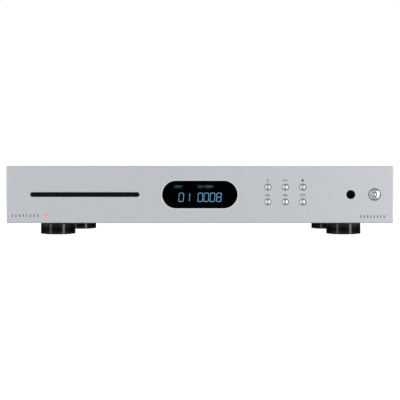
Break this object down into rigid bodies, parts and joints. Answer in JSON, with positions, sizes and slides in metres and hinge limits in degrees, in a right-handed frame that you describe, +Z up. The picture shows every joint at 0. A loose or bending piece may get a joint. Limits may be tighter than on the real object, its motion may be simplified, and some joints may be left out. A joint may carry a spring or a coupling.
{
  "type": "compact disc player",
  "caption": "Low slot-loading disc player: aluminium front with a disc slot, rounded display window and push buttons, sheet-steel case on round feet, complete loader and pickup inside.",
  "frame": {"origin": "on the floor plane under the middle of the whole footprint", "axes": "+X to the right seen from the front, +Y from the front panel to the rear, +Z up"},
  "size_m": [0.445, 0.314, 0.08],
  "materials": {
    "fascia_aluminium": "bead-blasted clear anodised",
    "button_metal": "polished",
    "case_paint": "satin silver paint",
    "zinc_steel": "zinc plated",
    "steel_rod": "ground and polished",
    "smoked_lens": "smoked acrylic, polished",
    "display_glass": "dark display glass in a moulded tray",
    "black_plastic": "moulded, fine texture",
    "foot_plastic": "moulded, semi-gloss",
    "foot_rubber": "matte",
    "roller_rubber": "ground, matte",
    "felt": "needle felt",
    "led_amber": "diffused orange-red lamp",
    "white_plastic": "moulded acetal",
    "circuit_board": "solder-resist laminate",
    "winding": "tape-wrapped copper winding",
    "lens_glass": "coated lens",
    "brass": "gold flashed"
  },
  "bodies": {
    "player_case": {"front_panel": "fascia_aluminium", "top_cover": "case_paint", "bottom_chassis": "zinc_steel", "rear_panel": "case_paint", "foot_front_left": "foot_plastic", "foot_pad_front_left": "foot_rubber", "foot_front_right": "foot_plastic", "foot_pad_front_right": "foot_rubber", "foot_rear_left": "foot_plastic", "foot_pad_rear_left": "foot_rubber", "foot_rear_right": "foot_plastic", "foot_pad_rear_right": "foot_rubber", "display_window": "smoked_lens", "display_module": "display_glass", "ir_window": "smoked_lens", "standby_led": "led_amber", "slot_felt": "felt", "slot_bezel": "black_plastic", "front_board": "circuit_board", "loader_frame": "zinc_steel", "loader_bridge": "zinc_steel", "disc_guide": "black_plastic", "loading_motor": "zinc_steel", "drive_belt": "roller_rubber", "arm_pivot_rod": "steel_rod", "main_board": "circuit_board", "front_ribbon_cable": "white_plastic", "transformer": "winding", "transformer_clamp": "zinc_steel", "mains_inlet": "black_plastic", "mains_switch_housing": "black_plastic", "coaxial_socket": "brass", "optical_socket": "black_plastic", "trigger_jacks": "black_plastic"},
    "eject_key": {"eject_button": "button_metal"},
    "play_pause_key": {"play_pause_button": "button_metal"},
    "stop_key": {"stop_button": "button_metal"},
    "previous_key": {"previous_button": "button_metal"},
    "next_key": {"next_button": "button_metal"},
    "repeat_key": {"repeat_button": "button_metal"},
    "power_key": {"power_button": "button_metal"},
    "rocker": {"mains_rocker": "black_plastic"},
    "optical_shutter": {"optical_door": "black_plastic"},
    "puck": {"clamp_puck": "black_plastic"},
    "arm": {"roller_arm": "zinc_steel"},
    "feed_roller": {"feed_roller_shaft": "steel_rod", "feed_roller_rubber": "roller_rubber", "roller_gear": "white_plastic"},
    "idler": {"idler_gear": "white_plastic"},
    "loading_pulley": {"motor_pulley": "white_plastic"},
    "deck": {"traverse_deck": "black_plastic", "spindle_motor": "zinc_steel", "sled_motor": "zinc_steel", "guide_rod_left": "steel_rod", "guide_rod_right": "steel_rod"},
    "cam": {"cam_frame": "white_plastic"},
    "platter": {"turntable": "black_plastic"},
    "sled": {"pickup_sled": "zinc_steel", "objective_lens": "lens_glass"},
    "screw": {"lead_screw": "steel_rod"}
  },
  "joints": [
    {"name": "eject_press", "type": "slide", "parent": "player_case", "child": "eject_key", "axis": [0, 1, 0], "range_m": [0, 0.0008], "stiffness_N_per_m": 1200, "springref_m": -0.0003},
    {"name": "play_pause_press", "type": "slide", "parent": "player_case", "child": "play_pause_key", "axis": [0, 1, 0], "range_m": [0, 0.0008], "stiffness_N_per_m": 1200, "springref_m": -0.0003},
    {"name": "stop_press", "type": "slide", "parent": "player_case", "child": "stop_key", "axis": [0, 1, 0], "range_m": [0, 0.0008], "stiffness_N_per_m": 1200, "springref_m": -0.0003},
    {"name": "previous_press", "type": "slide", "parent": "player_case", "child": "previous_key", "axis": [0, 1, 0], "range_m": [0, 0.0008], "stiffness_N_per_m": 1200, "springref_m": -0.0003},
    {"name": "next_press", "type": "slide", "parent": "player_case", "child": "next_key", "axis": [0, 1, 0], "range_m": [0, 0.0008], "stiffness_N_per_m": 1200, "springref_m": -0.0003},
    {"name": "repeat_press", "type": "slide", "parent": "player_case", "child": "repeat_key", "axis": [0, 1, 0], "range_m": [0, 0.0008], "stiffness_N_per_m": 1200, "springref_m": -0.0003},
    {"name": "power_press", "type": "slide", "parent": "player_case", "child": "power_key", "axis": [0, 1, 0], "range_m": [0, 0.0015], "stiffness_N_per_m": 1000, "springref_m": -0.0004},
    {"name": "mains_rocker_tilt", "type": "hinge", "parent": "player_case", "child": "rocker", "pos_m": [0.1297, 0.1475, 0.04725], "axis": [-1, 0, 0], "range_deg": [0, 16]},
    {"name": "optical_door_swing", "type": "hinge", "parent": "player_case", "child": "optical_shutter", "pos_m": [0.0076, 0.1469, 0.0384], "axis": [-1, 0, 0], "range_deg": [0, 75], "stiffness_Nm_per_rad": 0.0005, "springref_deg": -17.19},
    {"name": "clamp_puck_spin", "type": "hinge", "parent": "player_case", "child": "puck", "pos_m": [-0.1324, -0.0605, 0.04725], "axis": [0, 0, 1], "continuous": true},
    {"name": "roller_arm_lift", "type": "hinge", "parent": "player_case", "child": "arm", "pos_m": [-0.1324, -0.11236, 0.036], "axis": [-1, 0, 0], "range_deg": [0, 11]},
    {"name": "feed_roller_spin", "type": "hinge", "parent": "arm", "child": "feed_roller", "pos_m": [-0.1324, -0.1295, 0.04], "axis": [1, 0, 0], "continuous": true},
    {"name": "idler_spin", "type": "hinge", "parent": "arm", "child": "idler", "pos_m": [-0.1324, -0.11236, 0.036], "axis": [1, 0, 0], "continuous": true},
    {"name": "motor_pulley_spin", "type": "hinge", "parent": "player_case", "child": "loading_pulley", "pos_m": [-0.1324, -0.1325, 0.02815], "axis": [1, 0, 0], "continuous": true},
    {"name": "deck_lift", "type": "slide", "parent": "player_case", "child": "deck", "axis": [0, 0, 1], "range_m": [0, 0.0052]},
    {"name": "cam_slide", "type": "slide", "parent": "player_case", "child": "cam", "axis": [0, 1, 0], "range_m": [0, 0.0161]},
    {"name": "turntable_spin", "type": "hinge", "parent": "deck", "child": "platter", "pos_m": [-0.1324, -0.0605, 0.04725], "axis": [0, 0, 1], "continuous": true},
    {"name": "sled_travel", "type": "slide", "parent": "deck", "child": "sled", "axis": [0, 1, 0], "range_m": [0, 0.033]},
    {"name": "lead_screw_spin", "type": "hinge", "parent": "deck", "child": "screw", "pos_m": [-0.1109, -0.0155, 0.03215], "axis": [0, 1, 0], "continuous": true}
  ],
  "couplings": [
    {"joint": "idler_spin", "follows": "feed_roller_spin", "ratio": -0.69231},
    {"joint": "motor_pulley_spin", "follows": "feed_roller_spin", "ratio": -1.7308},
    {"joint": "cam_slide", "follows": "deck_lift", "ratio": 3.0769},
    {"joint": "lead_screw_spin", "follows": "sled_travel", "rad_per_m": 1047.2}
  ]
}
